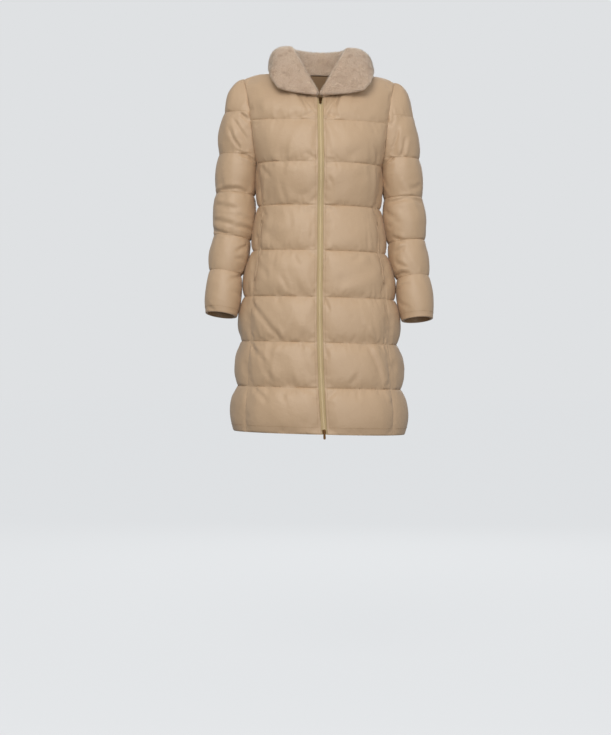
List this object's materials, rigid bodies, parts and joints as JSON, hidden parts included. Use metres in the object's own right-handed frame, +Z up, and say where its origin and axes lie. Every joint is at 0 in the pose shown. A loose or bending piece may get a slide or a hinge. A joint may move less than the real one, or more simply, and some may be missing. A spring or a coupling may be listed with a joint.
{
  "type": "long puffer coat, worn form",
  "caption": "Thigh-length quilted puffer coat in camel nylon, hollow in its worn form, with a turned-out fur collar, set-in sleeves and a two-way front zip with hinged pull tabs.",
  "frame": {"origin": "middle of the neck at shoulder height, where the wearer carries the coat", "axes": "+Z up, the coat's front faces -Y, +X towards the wearer's left"},
  "size_m": [0.5706, 0.3243, 0.9786],
  "materials": {
    "shell": "camel down-proof nylon taffeta with a soft satin sheen, quilted in wide horizontal channels",
    "fur": "short dense taupe faux fur, matt, softly mottled",
    "zip_tape": "woven olive-beige polyester tape",
    "zip_chain": "matt gold teeth",
    "slider_metal": "dark antique bronze, satin"
  },
  "bodies": {
    "coat": {"back": "shell", "collar_fur": "fur", "collar_under": "shell", "front_left": "shell", "front_right": "shell", "pocket_lip_left": "shell", "pocket_lip_right": "shell", "side_left": "shell", "side_right": "shell", "sleeve_left": "shell", "sleeve_right": "shell", "zip_chain": "zip_chain", "zip_slider_bottom": "slider_metal", "zip_slider_top": "slider_metal", "zip_tape_left": "zip_tape", "zip_tape_right": "zip_tape"},
    "top_pull": {"pull_tab_top": "slider_metal"},
    "bottom_pull": {"pull_tab_bottom": "slider_metal"}
  },
  "joints": [
    {"name": "top_pull_hinge", "type": "hinge", "parent": "coat", "child": "top_pull", "pos_m": [0.00244, -0.08665, -0.05897], "axis": [-1, -0.0007, -0.0005], "range_deg": [0, 105]},
    {"name": "bottom_pull_hinge", "type": "hinge", "parent": "coat", "child": "bottom_pull", "pos_m": [0.01121, -0.15411, -0.87443], "axis": [-0.998, -0.0206, -0.0593], "range_deg": [0, 150]}
  ]
}
